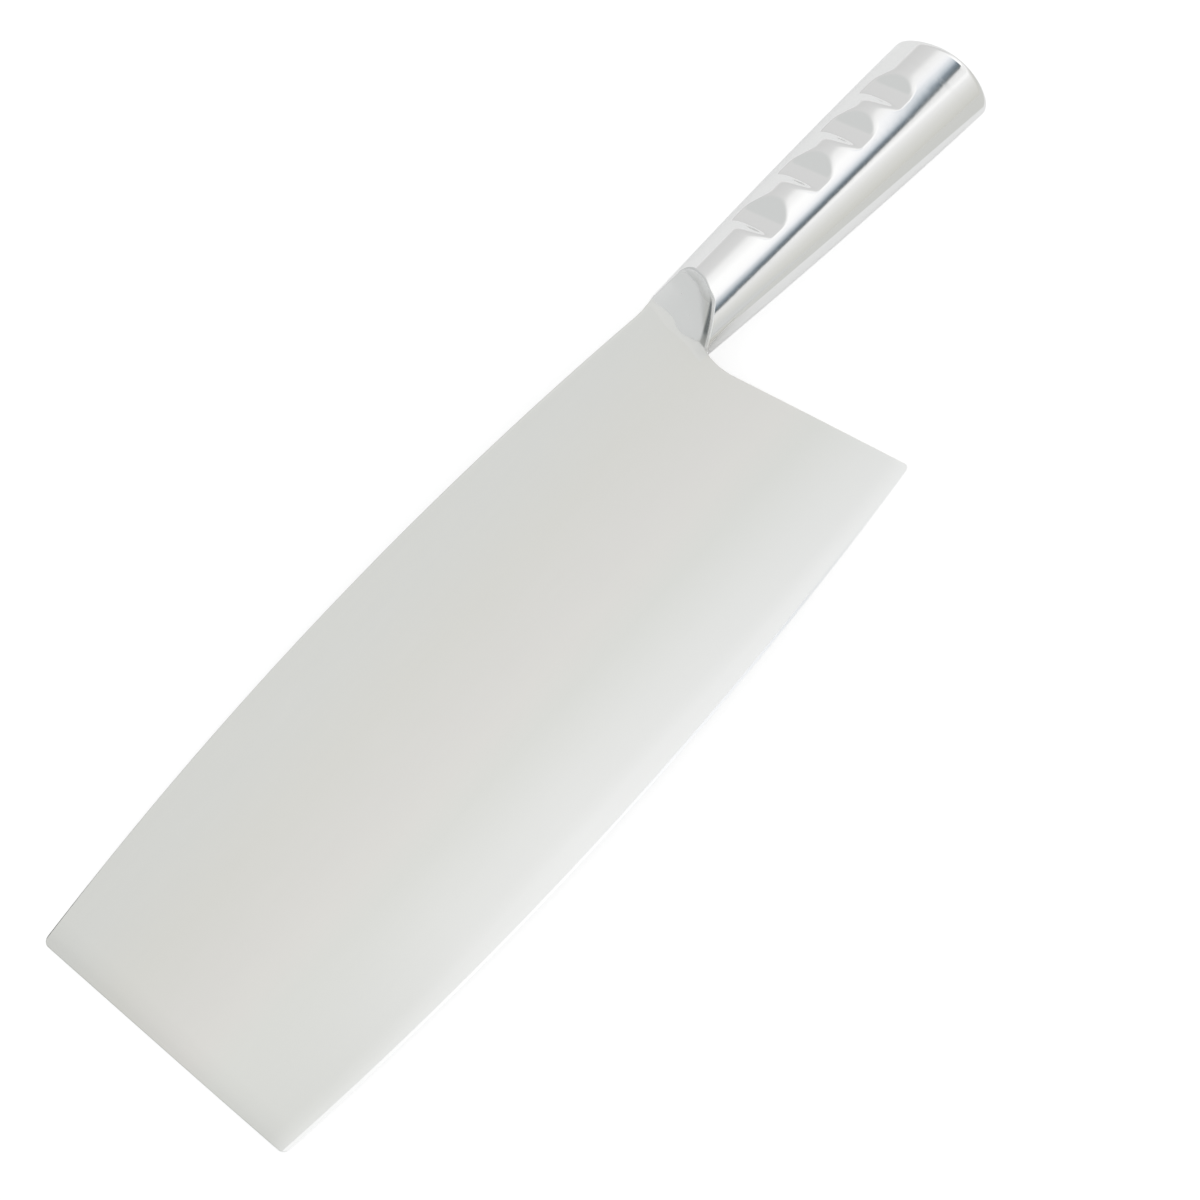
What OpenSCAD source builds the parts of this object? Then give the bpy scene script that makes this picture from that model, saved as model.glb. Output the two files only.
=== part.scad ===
// Chinese cleaver made of stainless steel throughout: a tall blade plate welded into a hollow handle
// that is made of two pressed halves, a domed cap and ground weld seams.
// The knife lies on its side: +X runs from the blade to the butt of the handle, +Y from the cutting
// edge to the spine, and +Z is across the thickness. The origin is at the bottom centre of its box.

/* [Blade] */
// Length of the blade, from its front edge to the heel corner
blade_length = 230; // [190:1:260]
// Height of the blade where its spine stands highest
blade_height = 88.5; // [75:0.5:105]
// Thickness of the blade plate
blade_thickness = 2.2; // [1.6:0.1:3.2]
// Radius of the curve of the cutting edge
edge_radius = 1120; // [900:10:1600]
// Distance from the heel corner forward to the lowest point of the cutting edge
edge_low_at = 116; // [95:1:135]
// Radius of the curve of the spine
spine_radius = 1016; // [850:2:1500]
// Distance from the heel corner forward to the highest point of the spine
spine_high_at = 144; // [120:1:165]
// Forward lean of the front edge, in degrees
front_lean = 0.8; // [0:0.1:3]
// Rounding of the two front corners
front_corner_radius = 2; // [1:0.5:6]
// Rounding of the heel corner
heel_corner_radius = 1.2; // [0.8:0.1:3]

/* [Grind] */
// Height of the ground part of the blade's faces, over the cutting edge
grind_height = 36; // [20:1:45]
// Thickness left where the grind meets the edge bevel
grind_land = 0.5; // [0.3:0.1:1]
// Height of the fine bevel at the cutting edge
bevel_height = 0.8; // [0.4:0.1:2]

/* [Neck] */
// Distance from the heel corner forward to the neck, where blade and handle meet
neck_setback = 12.6; // [8:0.2:18]
// Depth of the neck's centre under the highest point of the spine
neck_drop = 17.4; // [15:0.2:24]
// Depth of the hollow in the heel under the neck
heel_hollow = 1.9; // [0.6:0.1:4]
// Radius of the curve of that hollow
heel_hollow_radius = 17.5; // [14:0.5:26]
// Length over which the spine rises to the handle
neck_rise_length = 7; // [4:0.5:12]
// Width of the ground weld on each face of the neck
neck_weld_width = 3; // [2:0.1:5]
// Depth of the seat that the neck weld is laid in
neck_weld_seat = 0.3; // [0.2:0.1:0.5]
// Length of the tang inside the handle
tang_length = 30; // [15:1:45]
// Width of the tang
tang_width = 14; // [8:0.5:15]

/* [Handle] */
// Length of the handle along its axis, from the neck to the top of its dome
handle_length = 95; // [85:0.2:115]
// Radius of the handle at the neck
neck_radius = 9.9; // [9.4:0.1:12]
// Radius of the handle at the butt
butt_radius = 13.5; // [12:0.1:15]
// How far the handle's side stands out of a straight cone, halfway along
handle_bulge = 0.5; // [0.2:0.1:1.2]
// Droop of the handle's axis towards the edge side, in degrees
handle_droop = 4.1; // [0:0.1:8]
// Wall thickness of the pressed halves and of the cap
wall = 1; // [0.8:0.1:1.4]
// Width of the seam welds
seam_width = 1.2; // [0.8:0.1:1.6]

/* [Butt] */
// Radius of the domed cap
dome_radius = 30; // [24:1:60]
// Rounding where the dome meets the handle's side
dome_corner_radius = 4; // [1.8:0.1:5]
// Tilt of the dome towards the spine, in degrees
dome_tilt = 7; // [0:0.5:9]
// Depth of the cap's skirt, under its rounding
cap_skirt = 3; // [1.5:0.5:6]
// Width of the ring weld under the cap
butt_weld_width = 1.2; // [0.8:0.1:2]

/* [Thumb hollow] */
// Distance of the hollow's pointed end in front of the neck
hollow_tip_lead = 0.6; // [0.3:0.1:1.2]
// Distance of that end from the handle's axis, on the edge side
hollow_tip_offset = 9.2; // [8.8:0.1:9.6]
// Half of the angle at which the hollow's cone opens from its pointed end
hollow_half_angle = 37.5; // [32:0.5:44]
// Turn of the cone's level bottom line from the neck's plane towards the butt, in degrees
hollow_turn = 6.2; // [3:0.1:9]

/* [Grip dents] */
// Number of dents on each half
dent_count = 4; // [2:1:4]
// Distance from the neck to the first dent's step
first_dent_at = 31; // [24:0.5:34]
// Distance from the first dent's step to the second's
dent_pitch = 15.9; // [12:0.1:16]
// How much shorter each next distance is
dent_pitch_loss = 1.3; // [0:0.1:1.6]
// Depth of a dent at its step
dent_depth = 1.1; // [0.6:0.1:1.5]
// Length of a dent, from its step to where it runs out
dent_length = 9; // [6:0.5:11]
// Bearing of the dents on the handle's round, from its face towards the spine, in degrees
dent_bearing = 33; // [20:1:45]
// Slant of a dent's step across the handle, in degrees
dent_slant = 27; // [0:1:35]
// Lean of a dent's step away from the dent, in degrees
dent_step_lean = 20; // [5:1:35]

/* [Hidden] */
$fn = 96;

// Colours of the satin blade, the polished handle and the ground welds
satin_steel = [0.84, 0.84, 0.82];
polished_steel = [0.74, 0.77, 0.79];
ground_steel = [0.80, 0.81, 0.81];

// A cutting tool runs this far past the surfaces that it cuts through
margin = 5;
// Number of straight steps in a computed curve, and the fineness of the blade's long curves
curve_steps = 8;
fine = 720;
// How far the blade's roundings stand outside the sides that they join
corner_stand_out = 0.01;
// Half of the angle that the ring of the blade's cross-section spans, past both ends of the blade
ring_half_angle = 16;

// The driving frame has its origin under the heel corner, at the height of the lowest point of the edge
edge_centre = [-edge_low_at, edge_radius];
spine_centre = [-spine_high_at, blade_height - spine_radius];
heel_corner = [0, edge_radius - sqrt(pow(edge_radius, 2) - pow(edge_low_at, 2))];
half_blade = blade_thickness / 2;
weld_seat_height = half_blade - neck_weld_seat;

// The handle's frame starts at the neck's centre, with X along the handle's axis
neck = [-neck_setback, blade_height - neck_drop];
function from_handle(p) = neck + [
    p[0] * cos(handle_droop) + p[1] * sin(handle_droop),
    p[1] * cos(handle_droop) - p[0] * sin(handle_droop)
];
function direction(angle) = [cos(angle), sin(angle)];
function angle_of(v) = atan2(v[1], v[0]);

// The front edge leans about its middle
front_outward = 180 + front_lean;
front_middle = [-blade_length, blade_height / 2];

// The heel line passes the neck's belly corner at the hollow's depth, and runs into the hollow's curve
belly_corner = from_handle([0, -neck_radius]);
heel_to_neck = belly_corner - heel_corner;
heel_along = angle_of(heel_to_neck) + asin(heel_hollow / norm(heel_to_neck));
heel_outward = heel_along - 90;
heel_side = heel_corner + heel_hollow_radius * direction(heel_outward) - belly_corner;
heel_reach = heel_side * direction(heel_along);
heel_straight = -heel_reach
    - sqrt(pow(heel_reach, 2) - pow(norm(heel_side), 2) + pow(heel_hollow_radius, 2));
heel_curve_start = heel_corner + heel_straight * direction(heel_along);
heel_curve_centre = heel_curve_start + heel_hollow_radius * direction(heel_outward);

// Height of the spine's curve at a distance along the blade
function spine_y(x) = spine_centre[1] + sqrt(pow(spine_radius, 2) - pow(x - spine_centre[0], 2));

// Centre of a rounding inside a large circle and inside a straight side, which faces outward
function rounding_centre(circle_centre, circle_radius, side_point, outward, radius, along_sign) =
    let (
        start = side_point - radius * direction(outward),
        along = along_sign * direction(outward + 90),
        offset = start - circle_centre,
        reach = offset * along,
        travel = -reach + sqrt(pow(reach, 2) - pow(norm(offset), 2) + pow(circle_radius - radius, 2))
    ) start + travel * along;

// The dome's own axis leans from the handle's axis. Its rounding is a circle that touches the dome
// from inside and stands a little outside the handle's side, which then bounds it. Under the rounding
// the tool flares out by more than the lean, so that it clears the side.
dome_stand_out = 0.1;
dome_flare = dome_tilt + 3;
dome_corner_offset = butt_radius + dome_stand_out - dome_corner_radius;
dome_corner_drop = dome_radius
    - sqrt(pow(dome_radius - dome_corner_radius, 2) - pow(dome_corner_offset, 2));
barrel_length = handle_length - dome_corner_drop;
cap_line = -cap_skirt;
butt_weld_line = cap_line - butt_weld_width;

// Radius of the handle's side at a distance from the neck
function side_radius(s) =
    let (share = s / barrel_length)
    neck_radius + (butt_radius - neck_radius) * share + 4 * handle_bulge * share * (1 - share);

// Half thickness of the blade at a height over the edge, on a convex curve that ends flush with the face
function grind_half(height) =
    half_blade - (half_blade - grind_land / 2)
        * pow((grind_height - height) / (grind_height - bevel_height), 2);

// Distance of a dent's step from the neck
function dent_at(i) = first_dent_at + dent_pitch * i - dent_pitch_loss * i * (i - 1) / 2;

// The box of the whole knife gives the origin
dome_centre = from_handle([barrel_length, 0])
    + (dome_corner_drop - dome_radius) * direction(dome_tilt - handle_droop);
knife_right = dome_centre[0] + dome_radius;
front_top = rounding_centre(spine_centre, spine_radius, front_middle, front_outward,
    front_corner_radius, -1);
knife_left = front_top[0] - front_corner_radius;
box_shift = [-(knife_left + knife_right) / 2, -blade_height / 2, butt_radius];

// Moves the driving frame to the knife's own frame
module in_knife_frame() {
    translate(box_shift) children();
}

// Moves the handle's frame to the driving frame
module in_handle_frame() {
    translate([neck[0], neck[1], 0]) rotate([0, 0, -handle_droop]) children();
}

// The waste outside a rounded corner, between the two outward directions of its sides. The rounding
// stands a hair outside both sides, which then bound it.
module corner_waste(centre, radius, from_angle, to_angle) {
    middle = (from_angle + to_angle) / 2;
    difference() {
        polygon([
            centre,
            centre + 3 * radius * direction(from_angle),
            centre + 5 * radius * direction(middle),
            centre + 3 * radius * direction(to_angle)
        ]);
        translate(centre) circle(r = radius + corner_stand_out);
    }
}

// The waste behind the heel: a straight line, the curved hollow up to the neck, and the neck's plane
module heel_waste() {
    far = blade_length;
    start_angle = 180 + heel_outward;
    end_angle = angle_of(belly_corner - heel_curve_centre);
    polygon(concat(
        [heel_corner - 4 * margin * direction(heel_along)],
        [for (i = [0:curve_steps])
            heel_curve_centre + heel_hollow_radius
                * direction(start_angle + (end_angle - start_angle) * i / curve_steps)],
        [
            from_handle([0, neck_radius]),
            from_handle([0, 4 * margin]),
            [far, blade_height + margin],
            [far, -4 * margin]
        ]
    ));
}

// The spine's short rise from its own curve to the handle, which it then follows past the neck
module neck_rise() {
    top = from_handle([0, neck_radius]);
    start_x = top[0] - neck_rise_length;
    rise = top[1] - spine_y(top[0]);
    polygon(concat(
        [[start_x, neck[1]], from_handle([margin, 0]), from_handle([margin, neck_radius])],
        [for (i = [curve_steps:-1:0])
            let (share = i / curve_steps, x = start_x + share * neck_rise_length)
            [x, spine_y(x) + rise * pow(share, 2)]]
    ));
}

// Everything under the spine and behind the front edge
module spine_outline() {
    intersection() {
        translate(spine_centre) circle(r = spine_radius, $fn = fine);
        translate(front_middle) rotate(front_outward) translate([-2 * blade_length, -blade_length])
            square([2 * blade_length, 2 * blade_length]);
    }
    neck_rise();
}

// Flat outline of the blade without its tang. Its lower side is open, because the grind ends it.
module blade_outline() {
    difference() {
        spine_outline();
        heel_waste();
        corner_waste(front_top, front_corner_radius, front_outward, angle_of(front_top - spine_centre));
    }
}

// The tang, from inside the blade to its end in the handle
module tang_outline() {
    translate(neck) rotate(-handle_droop) translate([-margin, -tang_width / 2])
        square([tang_length + margin, tang_width]);
}

// The waste at the two corners of the cutting edge
module edge_corner_waste() {
    front = rounding_centre(edge_centre, edge_radius, front_middle, front_outward,
        front_corner_radius, 1);
    heel = rounding_centre(edge_centre, edge_radius, heel_corner, heel_outward,
        heel_corner_radius, -1);
    corner_waste(front, front_corner_radius, front_outward, 360 + angle_of(front - edge_centre));
    corner_waste(heel, heel_corner_radius, angle_of(heel - edge_centre), heel_outward);
}

// A ring about the centre of the edge's curve, with the blade's cross-section from edge to spine
module ground_section() {
    profile = concat(
        [[edge_radius, 0]],
        [for (i = [0:curve_steps])
            let (height = bevel_height + (grind_height - bevel_height) * i / curve_steps)
            [edge_radius - height, grind_half(height)]],
        [[edge_radius - blade_height - margin, half_blade]]
    );
    mirrored = [for (i = [len(profile) - 1:-1:1]) [profile[i][0], -profile[i][1]]];
    translate([edge_centre[0], edge_centre[1], 0]) rotate([0, 0, -90 - ring_half_angle])
        rotate_extrude(angle = 2 * ring_half_angle, $fn = fine) polygon(concat(profile, mirrored));
}

// Flat outline of a neck weld's seat. It runs out past the neck on both sides of the tang.
module weld_seat_outline() {
    half_tang = tang_width / 2;
    polygon([
        [-neck_weld_width, -neck_radius],
        [margin, -neck_radius],
        [margin, -half_tang],
        [0, -half_tang],
        [0, half_tang],
        [margin, half_tang],
        [margin, neck_radius + margin],
        [-neck_weld_width, neck_radius + margin]
    ]);
}

// Blade plate with its grind, its tang and the two weld seats across its neck
module blade() {
    color(satin_steel) in_knife_frame() difference() {
        intersection() {
            linear_extrude(height = 2 * blade_thickness, center = true) difference() {
                union() {
                    blade_outline();
                    tang_outline();
                }
                edge_corner_waste();
            }
            ground_section();
        }
        for (side = [0, 1]) mirror([0, 0, side]) in_handle_frame()
            translate([0, 0, weld_seat_height]) linear_extrude(height = margin) weld_seat_outline();
    }
}

// Weld across one face of the neck: flush with the blade's face at its toe, and with the pressed
// half's floor at the handle
module neck_weld(side) {
    color(ground_steel) in_knife_frame() mirror([0, 0, side]) intersection() {
        in_handle_frame() translate([0, neck_radius + margin, 0]) rotate([90, 0, 0])
            linear_extrude(height = 2 * neck_radius + margin) polygon([
                [-neck_weld_width, weld_seat_height],
                [0, weld_seat_height],
                [0, half_blade + wall],
                [-neck_weld_width, half_blade]
            ]);
        linear_extrude(height = margin) spine_outline();
    }
}

module neck_weld_front() {
    neck_weld(0);
}

module neck_weld_back() {
    neck_weld(1);
}

// Round body of the handle, drawn in from its outside by a depth and longer than the handle
module barrel(inset) {
    long = handle_length + margin;
    steps = 2 * curve_steps;
    rotate([0, 90, 0]) rotate_extrude() polygon(concat(
        [[0, long], [0, -margin]],
        [for (i = [0:steps])
            let (s = -margin + (long + margin) * i / steps)
            [side_radius(s) - inset, s]]
    ));
}

// Domed end of the handle about its own tilted axis, drawn in by a depth
module dome(inset) {
    radius = dome_radius - inset;
    corner_radius = dome_corner_radius - inset;
    corner_centre = [dome_corner_offset, 0];
    sphere_centre = [0, dome_corner_drop - dome_radius];
    meet = angle_of(corner_centre - sphere_centre);
    depth = handle_length + margin;
    translate([barrel_length, 0, 0]) rotate([0, 0, dome_tilt]) rotate([0, 90, 0])
        rotate_extrude() polygon(concat(
            [for (i = [0:curve_steps])
                sphere_centre + radius * direction(90 + (meet - 90) * i / curve_steps)],
            [for (i = [1:curve_steps])
                corner_centre + corner_radius
                    * direction(meet + (dome_flare - meet) * i / curve_steps)],
            [corner_centre + corner_radius * direction(dome_flare)
                + depth * [tan(dome_flare), -1]],
            [[0, -depth]]
        ));
}

// The handle's whole wall, with neither hollows nor dents
module handle_wall() {
    difference() {
        intersection() {
            barrel(0);
            dome(0);
        }
        handle_inside();
    }
}

module handle_inside() {
    intersection() {
        barrel(wall);
        dome(wall);
    }
}

// Everything between two distances along the dome's axis, measured from the start of its rounding
module butt_slice(from, to) {
    reach = 4 * butt_radius;
    translate([barrel_length, 0, 0]) rotate([0, 0, dome_tilt])
        translate([from, -reach / 2, -reach / 2]) cube([to - from, reach, reach]);
}

// The handle's body from the neck to the butt weld, between two heights across the thickness
module body_slice(bottom, top) {
    reach = 4 * butt_radius;
    difference() {
        translate([0, -reach / 2, bottom]) cube([handle_length + margin, reach, top - bottom]);
        butt_slice(butt_weld_line, 2 * handle_length);
    }
}

// The space of the thumb hollow, grown by a depth: a cone that lies level on its bottom line, where the
// pressed half lies on the blade, and that rises towards the butt
module thumb_hollow(grow) {
    length = 4 * butt_radius;
    translate([-hollow_tip_lead, -hollow_tip_offset, half_blade + wall])
        rotate([0, 90 - hollow_half_angle, 90 - hollow_turn])
            translate([0, 0, -grow / sin(hollow_half_angle)])
                cylinder(h = length, r1 = 0, r2 = length * tan(hollow_half_angle));
}

// The space of one grip dent, over a floor that rises from its step to the handle's round side
module grip_dent(step_at, grow) {
    floor_radius = side_radius(step_at) - dent_depth;
    floor_rise = atan((side_radius(step_at + dent_length) - floor_radius) / dent_length);
    width = 2 * butt_radius;
    rotate([-dent_bearing, 0, 0]) translate([step_at, 0, floor_radius]) intersection() {
        rotate([0, -floor_rise, 0]) translate([-margin, -width / 2, -grow])
            cube([dent_length + 2 * margin, width, width]);
        rotate([0, 0, dent_slant]) rotate([0, -dent_step_lean, 0]) translate([-grow, -width, -width])
            cube([2 * width, 2 * width, 2 * width]);
    }
}

// All that is pressed into one half, grown by a depth for the inside of the sheet
module pressings(grow) {
    thumb_hollow(grow);
    for (i = [0:dent_count - 1]) grip_dent(dent_at(i), grow);
}

// One pressed half of the handle: the sheet between its outside and the same shape drawn in by the wall
module handle_shell(side) {
    color(polished_steel) in_knife_frame() mirror([0, 0, side]) in_handle_frame() difference() {
        intersection() {
            barrel(0);
            body_slice(seam_width / 2, 2 * butt_radius);
        }
        pressings(0);
        difference() {
            barrel(wall);
            pressings(wall);
        }
    }
}

module handle_shell_front() {
    handle_shell(0);
}

module handle_shell_back() {
    handle_shell(1);
}

// Weld that fills the gap between the two halves along one side of the handle
module seam_weld(side) {
    reach = 2 * butt_radius;
    color(ground_steel) in_knife_frame() in_handle_frame() intersection() {
        handle_wall();
        body_slice(-seam_width / 2, seam_width / 2);
        mirror([0, side, 0]) translate([0, 0, -reach]) cube([2 * handle_length, reach, 2 * reach]);
    }
}

module spine_seam_weld() {
    seam_weld(0);
}

module belly_seam_weld() {
    seam_weld(1);
}

// Domed cap that closes the handle
module butt_cap() {
    color(polished_steel) in_knife_frame() in_handle_frame() intersection() {
        handle_wall();
        butt_slice(cap_line, handle_length);
    }
}

// Ring of weld between the cap and the two halves
module butt_weld() {
    color(ground_steel) in_knife_frame() in_handle_frame() intersection() {
        handle_wall();
        butt_slice(butt_weld_line, cap_line);
    }
}

blade();
handle_shell_front();
handle_shell_back();
spine_seam_weld();
belly_seam_weld();
butt_cap();
butt_weld();
neck_weld_front();
neck_weld_back();
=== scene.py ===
import bpy
import numpy as np
from mathutils import Matrix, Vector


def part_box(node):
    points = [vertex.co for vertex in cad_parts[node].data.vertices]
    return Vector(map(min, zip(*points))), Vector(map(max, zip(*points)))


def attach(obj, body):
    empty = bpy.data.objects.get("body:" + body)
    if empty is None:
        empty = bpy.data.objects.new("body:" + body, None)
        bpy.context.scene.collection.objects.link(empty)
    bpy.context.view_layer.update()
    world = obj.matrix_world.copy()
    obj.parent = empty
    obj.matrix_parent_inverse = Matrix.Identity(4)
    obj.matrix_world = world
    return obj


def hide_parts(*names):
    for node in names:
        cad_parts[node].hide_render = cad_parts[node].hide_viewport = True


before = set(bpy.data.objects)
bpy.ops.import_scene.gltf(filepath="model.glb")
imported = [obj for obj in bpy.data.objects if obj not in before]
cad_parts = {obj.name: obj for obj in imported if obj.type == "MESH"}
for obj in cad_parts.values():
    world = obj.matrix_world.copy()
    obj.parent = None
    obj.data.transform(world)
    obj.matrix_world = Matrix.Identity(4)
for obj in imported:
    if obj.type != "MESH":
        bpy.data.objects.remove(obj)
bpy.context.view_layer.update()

# Camera: it looks straight down on the front face of the knife, which lies with its handle to the
# upper right, so the picture's right and up directions are turned within the plane of the blade.
view_right = (0.67342, -0.73926)
view_up = (0.73926, 0.67342)
view_centre = (-0.00172, -0.00401)
view_width = 0.2953
view_distance = 0.75
face_height = 0.0146
camera_lens = bpy.data.cameras.new("camera")
camera_lens.lens = camera_lens.sensor_width * view_distance / view_width
camera = bpy.data.objects.new("camera", camera_lens)
camera.matrix_world = Matrix((
    (view_right[0], view_up[0], 0, view_centre[0]),
    (view_right[1], view_up[1], 0, view_centre[1]),
    (0, 0, 1, face_height + view_distance),
    (0, 0, 0, 1),
))
bpy.context.scene.collection.objects.link(camera)
bpy.context.scene.camera = camera
bpy.context.scene.view_settings.view_transform = "Standard"

# Blade: one plate of stainless steel, 2.2 mm thick, cut to a tall rectangle with a curved spine and
# a curved edge, ground thin over its lower part and finished satin. The edge has a fine bevel, and
# a short tang behind the neck runs into the hollow handle. Lengths are in millimetres.
blade_height = 88.5
half_blade = 1.1
edge_centre = np.array([-116.0, 1120.0])
edge_radius = 1120.0
spine_centre = np.array([-144.0, blade_height - 1016.0])
spine_radius = 1016.0
front_middle = np.array([-230.0, blade_height / 2])
front_outward = np.radians(180.8)
front_corner_radius = 2.0
heel_corner_radius = 1.2
grind_height = 36.0
bevel_height = 0.6
bevel_front_extra = 0.35
bevel_slope = 0.1
bevel_count = 8
grind_count = 36
edge_half = 0.015
rim_rounding = 0.15
rim_share = 0.4
handle_droop = np.radians(4.1)
handle_along = np.array([np.cos(handle_droop), -np.sin(handle_droop)])
handle_across = np.array([np.sin(handle_droop), np.cos(handle_droop)])
neck_centre = np.array([-12.6, blade_height - 17.4])
neck_radius = 9.9
neck_rise_length = 7.0
neck_side_steps = 3
tang_length = 30.0
tang_half_width = 7
tang_steps = 14
tang_columns = 12
heel_hollow = 1.9
heel_hollow_radius = 17.5
patch_rows = 37
corner_steps = 10
crease_angle = np.radians(60)


def direction(angle):
    """Unit vectors at angles: cosine and sine."""
    return np.stack([np.cos(angle), np.sin(angle)], -1)


def angle_of(v):
    """Angle of a flat vector."""
    return np.arctan2(v[1], v[0])


def from_handle(s, y):
    """Flat point of the blade's plane at s along the handle's axis from the neck, y across it."""
    return neck_centre + np.multiply.outer(s, handle_along) + np.multiply.outer(y, handle_across)


def rounding_centre(circle, circle_radius, side_point, outward, radius, sense):
    """Centre of a corner's rounding: it lies one radius inside the straight side, and inside the
    large circle by the same radius, where the line along the side meets the smaller circle."""
    start = side_point - radius * direction(outward)
    along = sense * direction(outward + np.pi / 2)
    offset = start - circle
    reach = offset @ along
    half_chord = np.sqrt(reach ** 2 - offset @ offset + (circle_radius - radius) ** 2)
    return start + (half_chord - reach) * along


def side_points(height, corner, radius, side_point, outward, sense):
    """Points of a blade's side at heights over the cutting edge. A height is a circle about the
    edge's centre. On the rounded corner the cosine rule gives the turn from the edge's side, and
    over it the circle meets the straight side at half a chord from the foot of the centre."""
    reach = edge_radius - height
    to_corner = corner - edge_centre
    far = np.hypot(*to_corner)
    turn = np.arccos(np.clip((reach ** 2 - far ** 2 - radius ** 2) / (2 * far * radius), -1, 1))
    on_corner = corner + radius * direction(angle_of(to_corner) + sense * turn)
    normal = direction(outward)
    away = (edge_centre - side_point) @ normal
    half_chord = np.sqrt(reach ** 2 - away ** 2)
    foot = edge_centre - away * normal
    on_side = foot + half_chord[:, None] * direction(outward - sense * np.pi / 2)
    corner_top = edge_radius - np.hypot(*(corner + radius * normal - edge_centre))
    return np.where((height < corner_top)[:, None], on_corner, on_side)


def spine_height(x):
    """Height of the spine's circle at a place along the blade."""
    return spine_centre[1] + np.sqrt(spine_radius ** 2 - (x - spine_centre[0]) ** 2)


def share_over(value, start, length):
    """Share from 0 to 1 by which a value has passed over a length from a start."""
    return np.clip((value - start) / length, 0, 1)


def grid_quads(rows, columns, first=0, wrap=False, flip=False):
    """Quads between the neighbours of a grid whose points are numbered row by row."""
    i, j = np.meshgrid(
        np.arange(rows - 1), np.arange(columns if wrap else columns - 1), indexing="ij")
    k = (j + 1) % columns
    upper, lower = first + i * columns, first + (i + 1) * columns
    quads = np.stack([upper + j, upper + k, lower + k, lower + j], -1).reshape(-1, 4)
    return (quads[:, ::-1] if flip else quads).tolist()


def strip_quads(upper, lower):
    """Quads between two closed rows of point numbers, facing right of the row's direction."""
    upper, lower = np.asarray(upper), np.asarray(lower)
    return np.stack([upper, lower, np.roll(lower, -1), np.roll(upper, -1)], -1).tolist()


def steel_piece(name, points, faces, node, finish, slot, creases=()):
    """A mesh of points in millimetres, which stands for a CAD node and rides on the knife. It is
    shaded smooth, save at its right-angled edges and along the rows of points named as creases."""
    mesh = bpy.data.meshes.new(name)
    mesh.from_pydata((np.asarray(points) * 0.001).tolist(), [], faces)
    mesh.polygons.foreach_set("use_smooth", np.ones(len(mesh.polygons), bool))
    mesh.set_sharp_from_angle(angle=crease_angle)
    ends = np.empty(2 * len(mesh.edges), int)
    sharp = np.empty(len(mesh.edges), bool)
    mesh.edges.foreach_get("vertices", ends)
    mesh.edges.foreach_get("use_edge_sharp", sharp)
    sharp |= np.isin(ends.reshape(-1, 2), list(creases)).all(1)
    mesh.edges.foreach_set("use_edge_sharp", sharp)
    mesh.materials.append(finish)
    mesh.update()
    piece = bpy.data.objects.new(name, mesh)
    bpy.context.scene.collection.objects.link(piece)
    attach(piece, "root")
    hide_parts(node)
    return piece


def point_values(piece, attribute, values):
    """Gives each point of a piece a value from 0 to 1, which its finish reads as an attribute."""
    piece.data.attributes.new(attribute, "FLOAT", "POINT").data.foreach_set("value", values)


def set_inputs(tree, node, inputs):
    """Sets inputs of a node, by name or number. A socket is joined to, and any other value kept."""
    for name, value in inputs.items():
        if isinstance(value, bpy.types.NodeSocket):
            tree.links.new(value, node.inputs[name])
        else:
            node.inputs[name].default_value = value


def add_node(tree, kind, inputs, **settings):
    """A new node of a kind, with its settings and inputs. Gives its outputs."""
    node = tree.nodes.new(kind)
    for name, value in settings.items():
        setattr(node, name, value)
    set_inputs(tree, node, inputs)
    return node.outputs


def add_math(tree, operation, *values):
    """A Math node on two or three sockets or numbers."""
    return add_node(tree, "ShaderNodeMath", dict(enumerate(values)), operation=operation)["Value"]


def add_range(tree, value, inputs):
    """A value mapped from one range to another, each from 0 to 1 where it isn't given."""
    return add_node(tree, "ShaderNodeMapRange", {"Value": value, **inputs})["Result"]


def add_mix(tree, factor, first, second, blend="MIX"):
    """A mix of two colours, each a socket or a value."""
    inputs = {"Factor": factor, "A": first, "B": second}
    return add_node(tree, "ShaderNodeMix", inputs, data_type="RGBA", blend_type=blend)["Result"]


def add_noise(tree, place, scale, detail):
    """A noise texture over a place."""
    inputs = {"Vector": place, "Scale": scale, "Detail": detail}
    return add_node(tree, "ShaderNodeTexNoise", inputs)["Fac"]


def add_bump(tree, height, strength, distance):
    """A surface's direction, bent by a height."""
    inputs = {"Height": height, "Strength": strength, "Distance": distance}
    return add_node(tree, "ShaderNodeBump", inputs)["Normal"]


def add_share(tree, attribute):
    """The value that the points of a mesh have in an attribute."""
    return add_node(tree, "ShaderNodeAttribute", {}, attribute_name=attribute)["Fac"]


def add_ramp(tree, share, stops):
    """A colour ramp over a share from 0 to 1. Each stop is a place and a grey or three colours."""
    node = tree.nodes.new("ShaderNodeValToRGB")
    elements = node.color_ramp.elements
    while len(elements) < len(stops):
        elements.new(0.5)
    for element, (place, *colour) in zip(elements, stops):
        element.position = place
        element.color = (*(colour * 3)[:3], 1)
    set_inputs(tree, node, {"Fac": share})
    return node.outputs["Color"]


def new_steel(name):
    """A new material of metal. Gives it, its nodes, and the places on the object."""
    finish = bpy.data.materials.new(name)
    finish.use_nodes = True
    tree = finish.node_tree
    return finish, tree, add_node(tree, "ShaderNodeTexCoord", {})["Object"]


def finish_steel(tree, colour, roughness, normal):
    """Gives a metal its colour, its roughness and its surface's direction."""
    set_inputs(tree, tree.nodes["Principled BSDF"], {
        "Metallic": 1.0, "Base Color": colour, "Roughness": roughness, "Normal": normal})


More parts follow.
